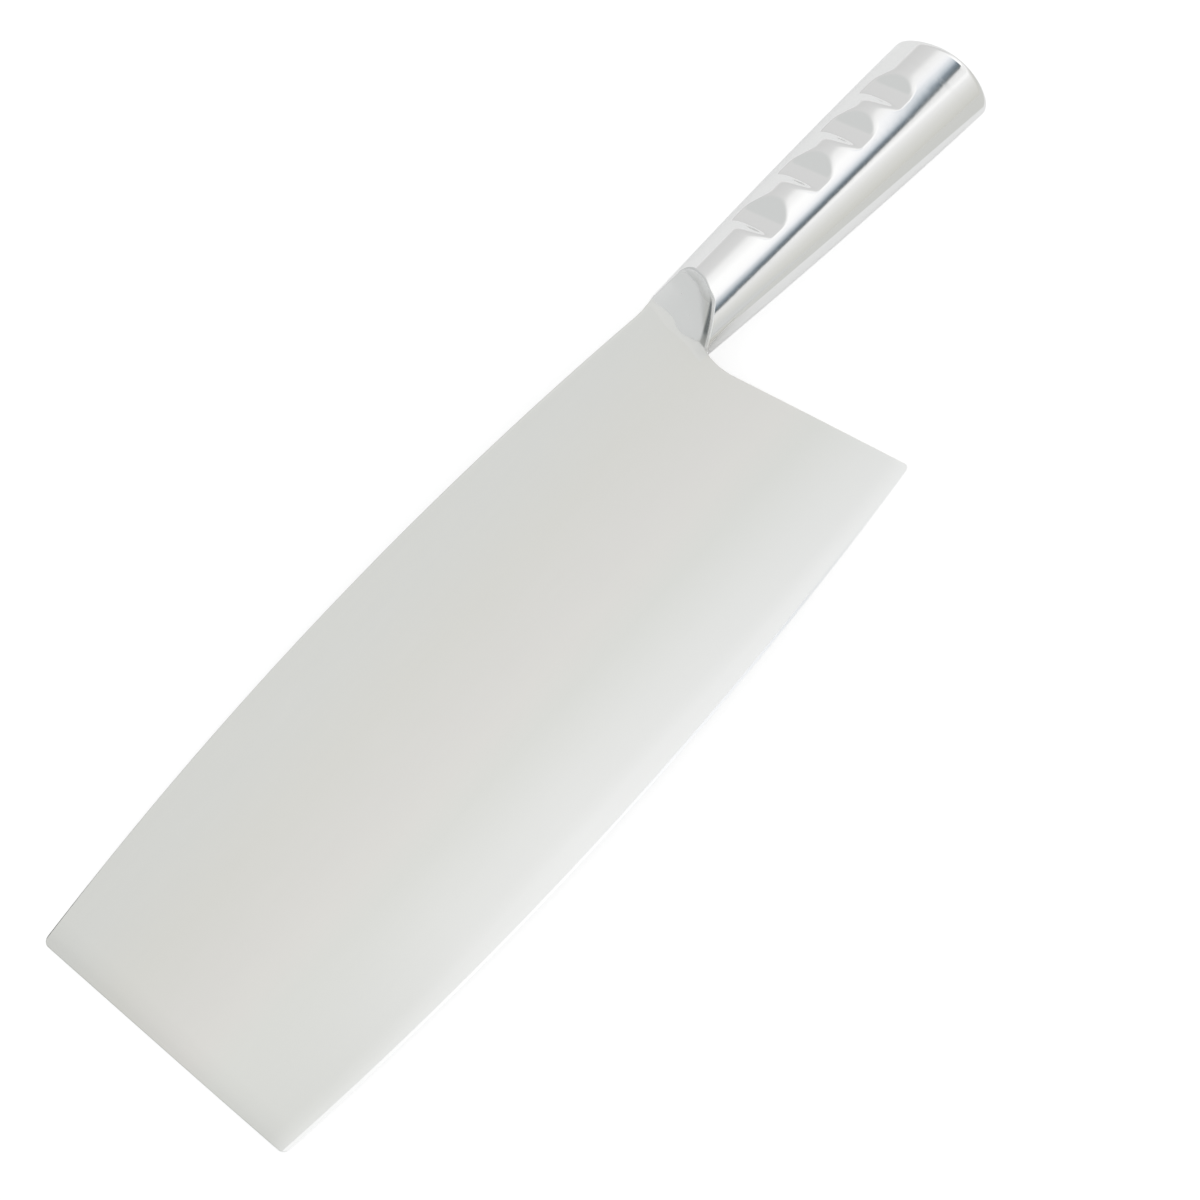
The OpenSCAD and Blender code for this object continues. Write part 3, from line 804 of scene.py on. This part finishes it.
def dome_side(depth, rows, rounding_rows, skirt_rows, angles):
    """One side of the cap, in the half plane of each angle about the end's tilted axis: a parabola
    whose curvature is far greater across the handle's height than across its thickness, then the
    rim's rounding, which touches it and the handle's side, and the side down to the lower plane."""
    curvature = np.cos(angles) ** 2 / dome_radius + np.sin(angles) ** 2 / dome_flat_radius
    corner = dome_corner_radius * np.cos(angles) ** 2 + dome_rim_radius * np.sin(angles) ** 2
    touch = np.full_like(angles, butt_radius)
    for _ in range(12):
        meet = np.arctan2(1, curvature * touch)
        touch = butt_radius + dome_margin - corner * (1 - np.cos(meet))
    parabola = touch * (np.arange(rows + 1) / rows)[:, None]
    normal = np.arctan2(1, curvature * parabola)
    rounding_share = (np.arange(1, rounding_rows + 1) / rounding_rows)[:, None]
    turned = meet + (dome_tilt * np.cos(angles) - meet) * rounding_share
    centre_along = dome_height - curvature * touch ** 2 / 2 - corner * np.sin(meet)
    across = np.concatenate([
        parabola - depth * np.cos(normal),
        touch - corner * np.cos(meet) + (corner - depth) * np.cos(turned)])
    along = np.concatenate([
        dome_height - curvature * parabola ** 2 / 2 - depth * np.sin(normal),
        centre_along + (corner - depth) * np.sin(turned)])
    y = across * np.cos(angles)
    z = across * np.sin(angles)
    s = barrel_length + along * np.cos(dome_tilt) - y * np.sin(dome_tilt)
    y = along * np.sin(dome_tilt) + y * np.cos(dome_tilt)
    scale = (side_radius(s[-1]) - depth) / np.hypot(y[-1], z[-1])
    fit = 1 + (scale - 1) * (across / across[-1]) ** 2
    y, z = y * fit, z * fit
    turn = np.arctan2(z[-1], y[-1])
    end = cut_place(turn, cap_line, depth)
    skirt_s = s[-1] + (end - s[-1]) * (np.arange(1, skirt_rows + 1) / skirt_rows)[:, None]
    skirt_radius = side_radius(skirt_s) - depth
    return np.stack([
        np.concatenate([s, skirt_s]), np.concatenate([y, skirt_radius * np.cos(turn)]),
        np.concatenate([z, skirt_radius * np.sin(turn)])], -1)


cap_outer = dome_side(0.0, rows=40, rounding_rows=18, skirt_rows=12, angles=dome_angles)
cap_inner = dome_side(wall, rows=14, rounding_rows=6, skirt_rows=3, angles=dome_angles)
cap_count = cap_outer[1:, :, 0].size
cap_points = np.concatenate([
    cap_outer[1:].reshape(-1, 3), cap_inner[1:].reshape(-1, 3), cap_outer[:1, 0], cap_inner[:1, 0]])
around = np.arange(turns)
following = (around + 1) % turns
cap_rows, cap_inner_rows = len(cap_outer) - 1, len(cap_inner) - 1
outer_pole, inner_pole = len(cap_points) - 2, len(cap_points) - 1
cap_faces = grid_quads(cap_rows, turns, wrap=True, flip=True)
cap_faces += grid_quads(cap_inner_rows, turns, first=cap_count, wrap=True)
cap_faces += np.column_stack([np.full(turns, outer_pole), around, following]).tolist()
cap_faces += np.column_stack([
    np.full(turns, inner_pole), cap_count + following, cap_count + around]).tolist()
outer_end = (cap_rows - 1) * turns + around
inner_end = cap_count + (cap_inner_rows - 1) * turns + around
cap_faces += strip_quads(inner_end, outer_end)
steel_piece(
    "polished_butt_cap", handle_place(*cap_points.T), cap_faces, "butt_cap", polished_steel,
    "polished_steel")

# Butt weld: a ring of weld, 1.2 mm wide, joins the cap to the two halves. It is ground flush and
# polished, so that only a faint difference in finish shows where it runs round the handle.
ring_share = np.linspace(0, 1, 7)[:, None]
ring_rows = []
for depth, order in ((0.0, ring_share), (wall, ring_share[::-1])):
    low = cut_place(dome_angles, butt_weld_line, depth)
    high = cut_place(dome_angles, cap_line, depth)
    ring_s = low + (high - low) * order
    ring_radius = side_radius(ring_s) - depth
    ring_rows.append(np.stack([
        ring_s, ring_radius * np.cos(dome_angles), ring_radius * np.sin(dome_angles)], -1))
ring = np.concatenate(ring_rows)
ring_faces = grid_quads(len(ring), turns, wrap=True)
ring_faces += strip_quads(around, (len(ring) - 1) * turns + around)
steel_piece(
    "ground_butt_weld", handle_place(*ring.reshape(-1, 3).T), ring_faces, "butt_weld", ground_weld,
    "ground_weld")

# Neck welds: on each face a weld runs across the neck, where the pressed half ends on the blade. It
# is ground down by hand nearly flush with the blade's satin face, and from a wavy line on it rises
# polished into the thumb hollow.
toe_length = 2.5
toe_wave, toe_wave_turn, toe_wave_start = 0.25, 0.55, 0.4
toe_bead, bead_least = 0.055, 0.005
bead_rise = 3
spine_clearance = 0.02
side_clearance = 0.1
slope_limit = 20
slope_blend = 0.04
sunk_depth = 0.02
flush_height = 0.05
neck_rows = np.linspace(0, 1, 49)
toe_share = np.linspace(0, 1, 121)[:, None]
neck_across = -neck_radius + toe_share * 2 * neck_radius
toe_width = toe_length + toe_wave * np.sin(neck_across * toe_wave_turn + toe_wave_start)
top_x = -toe_width * (1 - neck_rows)
spine_limit = np.full(top_x[-1].shape, neck_radius)
for _ in range(5):
    under_spine = from_handle(top_x[-1], 0.0) + spine_limit[:, None] * handle_across
    spine_there = raised_spine(under_spine[:, 0])
    spine_limit = spine_limit + spine_there - under_spine[:, 1] - spine_clearance
spine_limit = np.minimum(spine_limit, neck_radius - side_clearance)
top_y = -neck_radius + toe_share * (spine_limit + neck_radius)

# The bead rises over a third of its rows and over a short way from the belly
bead = np.clip(3 * neck_rows, 0, 1) * share_over(top_y, -neck_radius, bead_rise)
bead = bead_least + toe_bead * bead
slope_z = entrance_height(top_x, top_y)
slope_z = np.where((slope_z < slope_limit) & (top_y > touch_y[0]), slope_z, 0)
top_z = soft_max(half_blade + bead, slope_z, slope_blend)
low_z = np.full_like(top_z, half_blade - sunk_depth)
neck_top = np.stack([top_x, top_y, top_z], -1)
neck_low = np.stack([top_x, top_y, low_z], -1)
flush = share_over(half_blade + bead + flush_height, slope_z, flush_height)
neck_shape = neck_top.shape[:2]
neck_count = neck_top[..., 0].size
neck_numbers = np.arange(neck_count).reshape(neck_shape)
neck_rim = rim_of(neck_numbers.T)
neck_faces = grid_quads(*neck_shape, flip=True) + grid_quads(*neck_shape, first=neck_count)
neck_faces += strip_quads(neck_rim, neck_rim + neck_count)
neck_points = np.concatenate([neck_top.reshape(-1, 3), neck_low.reshape(-1, 3)])
for side, weld_name in ((1, "neck_weld_front"), (-1, "neck_weld_back")):
    neck_weld = steel_piece(
        "ground_" + weld_name, *turned_over(neck_points, neck_faces, side), weld_name,
        ground_weld, "ground_weld")
    for attribute, values in (("satin", flush), ("hollow", np.ones(neck_shape))):
        point_values(neck_weld, attribute, np.tile(values.ravel(), 2))

# Floor: a plain pale plane. The knife rests on it with the underside of its butt and its front
# edge, so the plane is tilted by the few degrees at which the two touch it. A white sheet lies
# under the handle and ends beside it, so that the handle mirrors the greyer table beyond.
floor_reach = 3.0
floor_gap = 0.0002
butt_rest = 82.0
by_handle_from, by_handle_to = 0.035, 0.055
card_offset = 76.9
card_outward = 0.418 * handle_along - 0.908 * handle_across
card_place = handle_place(
    np.array([0.0]), np.array([-card_offset]), np.array([0.0]))[0, :2] * 0.001
card_end = card_place @ card_outward
card_blur = 0.002
floor_mesh = bpy.data.meshes.new("floor")
butt_place = handle_place(
    np.array([butt_rest]), np.array([0.0]), np.array([-butt_radius]))[0] * 0.001
front_place = np.array([blade_low.x, 0.0, blade_low.z])
floor_slope = (front_place[2] - butt_place[2]) / (front_place[0] - butt_place[0])
floor_corners = [
    (x, y, butt_place[2] - floor_gap + floor_slope * (x - butt_place[0]))
    for x, y in ((-floor_reach, -floor_reach), (floor_reach, -floor_reach),
                 (floor_reach, floor_reach), (-floor_reach, floor_reach))]
floor_mesh.from_pydata(floor_corners, [], [(0, 1, 2, 3)])
floor_finish = bpy.data.materials.new("floor")
floor_finish.use_nodes = True
table = floor_finish.node_tree
floor_paint = table.nodes["Principled BSDF"]
floor_rays = add_node(table, "ShaderNodeLightPath", {})
floor_place = add_node(table, "ShaderNodeTexCoord", {})["Object"]
floor_x = add_node(table, "ShaderNodeSeparateXYZ", {"Vector": floor_place})["X"]
by_handle = add_range(
    table, floor_x, {"From Min": by_handle_from, "From Max": by_handle_to})
floor_away = add_node(table, "ShaderNodeVectorMath", {
    0: floor_place, 1: (*card_outward, 0)}, operation="DOT_PRODUCT")["Value"]
floor_card = add_math(table, "MULTIPLY", add_range(table, floor_away, {
    "From Min": card_end - card_blur, "From Max": card_end + card_blur,
    "To Min": 1.0, "To Max": 0.0}), by_handle)
floor_tone = add_mix(table, by_handle, (0.70, 0.71, 0.71, 1), (0.81, 0.81, 0.785, 1))
floor_tone = add_mix(table, floor_card, floor_tone, (0.88, 0.88, 0.88, 1))
floor_tone = add_mix(table, floor_rays["Is Camera Ray"], floor_tone, (0.4, 0.4, 0.4, 1))
set_inputs(table, floor_paint, {
    "Base Color": floor_tone, "Roughness": 0.9, "Specular IOR Level": 0.0})
floor_white = add_math(table, "MULTIPLY", floor_rays["Is Camera Ray"], 0.75)
floor_mirrored = add_math(table, "MULTIPLY", floor_rays["Is Glossy Ray"], floor_card)
floor_glow = add_node(table, "ShaderNodeEmission", {
    "Strength": add_math(table, "MULTIPLY_ADD", floor_mirrored, 0.13, floor_white)})["Emission"]
floor_sum = add_node(table, "ShaderNodeAddShader", {
    0: floor_paint.outputs["BSDF"], 1: floor_glow})["Shader"]
set_inputs(table, table.nodes["Material Output"], {"Surface": floor_sum})
floor_mesh.materials.append(floor_finish)
floor = bpy.data.objects.new("floor", floor_mesh)
bpy.context.scene.collection.objects.link(floor)

# Studio light: a white tent with a darker strip beside its opening, which the polished handle
# mirrors. Directions are measured across the handle, positive towards the belly, and along it. The
# tent turns to grey beyond the blade's front and to plain white beyond the butt.
tent_level = 1.2
tent_turn = np.radians(9)
strip_edge = np.radians(35.4)
strip_span, strip_middle = 120, 0.75
slant, slant_low, slant_high = 1.7, np.radians(-6), np.radians(10)
bend, bend_low, bend_high = 1.5, np.radians(6.4), np.radians(8.4)
bend_widening = 9.0
butt_start, butt_fade = 0.9, 11.0
studio = bpy.data.worlds.new("studio")
bpy.context.scene.world = studio
studio.use_nodes = True
sky = studio.node_tree


def sky_limit(value, low, high):
    """A value of the sky's nodes held between two limits."""
    return add_math(sky, "MINIMUM", add_math(sky, "MAXIMUM", value, low), high)


def sky_share(angle, span, middle):
    """Place of an angle on a ramp over a span, with nought at the middle given."""
    return add_math(sky, "ADD", add_math(sky, "DIVIDE", angle, span), middle)


sky_ray = add_node(sky, "ShaderNodeTexCoord", {})["Generated"]
sky_parts = add_node(sky, "ShaderNodeSeparateXYZ", {"Vector": sky_ray})
to_belly = add_math(sky, "MULTIPLY", sky_parts["Y"], -1.0)
across_angle = add_math(sky, "ARCTAN2", to_belly, sky_parts["Z"])
across_angle = add_math(sky, "SUBTRACT", across_angle, tent_turn)
across_share = sky_share(across_angle, 2 * np.pi, 0.5)
along_angle = add_math(sky, "ARCTAN2", sky_parts["X"], sky_parts["Z"])
along_share = sky_share(along_angle, np.pi, 0.5)
tent = [
    (-180, 0.9, 1.0), (-98, 0.9, 1.0), (-94, 0.72, 1.0), (-84, 0.735, 1.0), (-66, 0.765, 1.0),
    (-58, 0.8, 1.0), (-46, 1.0, 1.0), (-25, 1.16, 1.0), (4, 1.16, 1.0), (12, 1.0, 1.0),
    (20, 0.98, 1.0), (24, 1.08, 1.0), (28, 1.1, 1.0), (34, 0.96, 1.0), (45, 0.86, 0.98),
    (55, 0.79, 0.97), (80, 0.69, 0.94), (110, 0.69, 0.94), (180, 0.9, 1.0)]
tent_colour = add_ramp(sky, across_share, [
    (angle / 360 + 0.5, level / tent_level, level / tent_level, level * blue / tent_level)
    for angle, level, blue in tent])

# The strip is slanted, and towards the butt it lies nearer the spine and is wider
bent = sky_limit(along_angle, bend_low, bend_high)
slanted = sky_limit(along_angle, slant_low, slant_high)
slanted = add_math(sky, "ADD", across_angle, add_math(sky, "MULTIPLY", slanted, slant))
slanted = add_math(sky, "ADD", slanted, add_math(sky, "MULTIPLY", bent, bend))
widening = add_math(sky, "MULTIPLY", add_math(sky, "SUBTRACT", bent, bend_low), bend_widening)
strip_scale = add_math(sky, "SUBTRACT", 1.0, widening)
slanted = add_math(sky, "MULTIPLY", add_math(sky, "SUBTRACT", slanted, strip_edge), strip_scale)
strip_share = sky_share(slanted, np.radians(strip_span), strip_middle)
strip = [
    (-36, 1.0, 1.0, 1.0), (-27, 0.97, 0.97, 0.98), (-21, 0.87, 0.88, 0.91),
    (-15, 0.64, 0.68, 0.72), (-11, 0.43, 0.48, 0.53), (-8, 0.2, 0.24, 0.28),
    (-4, 0.13, 0.16, 0.18), (-0.5, 0.19, 0.2, 0.2), (0.5, 0.9, 0.9, 0.9), (6, 1.0, 1.0, 1.0)]
strip_colour = add_ramp(sky, strip_share, [
    (angle / strip_span + strip_middle, *colour) for angle, *colour in strip])
strip_part = add_ramp(sky, along_share, [
    (0.5 + angle / 180, share) for angle, share in ((-13, 0), (-9, 1), (16, 1), (22, 0))])
sky_tone = add_mix(sky, strip_part, tent_colour, strip_colour, "MULTIPLY")
tent_part = add_ramp(sky, along_share, [(0.0, 0), (0.39, 0), (0.46, 1), (1.0, 1)])
sky_tone = add_mix(sky, tent_part, (0.582, 0.592, 0.59, 1), sky_tone)
butt_part = add_math(sky, "SUBTRACT", sky_parts["X"], butt_start)
butt_part = sky_limit(add_math(sky, "MULTIPLY", butt_part, butt_fade), 0.0, 1.0)
sky_tone = add_mix(sky, butt_part, sky_tone, (0.875, 0.875, 0.875, 1))

# The camera itself sees plain white round the knife
sky_light = sky.nodes["Background"]
set_inputs(sky, sky_light, {"Color": sky_tone, "Strength": tent_level})
sky_white = add_node(sky, "ShaderNodeBackground", {"Color": (1, 1, 1, 1), "Strength": 1.0})
sky_choice = add_node(sky, "ShaderNodeMixShader", {
    "Fac": add_node(sky, "ShaderNodeLightPath", {})["Is Camera Ray"],
    1: sky_light.outputs["Background"], 2: sky_white["Background"]})
set_inputs(sky, sky.nodes["World Output"], {"Surface": sky_choice["Shader"]})
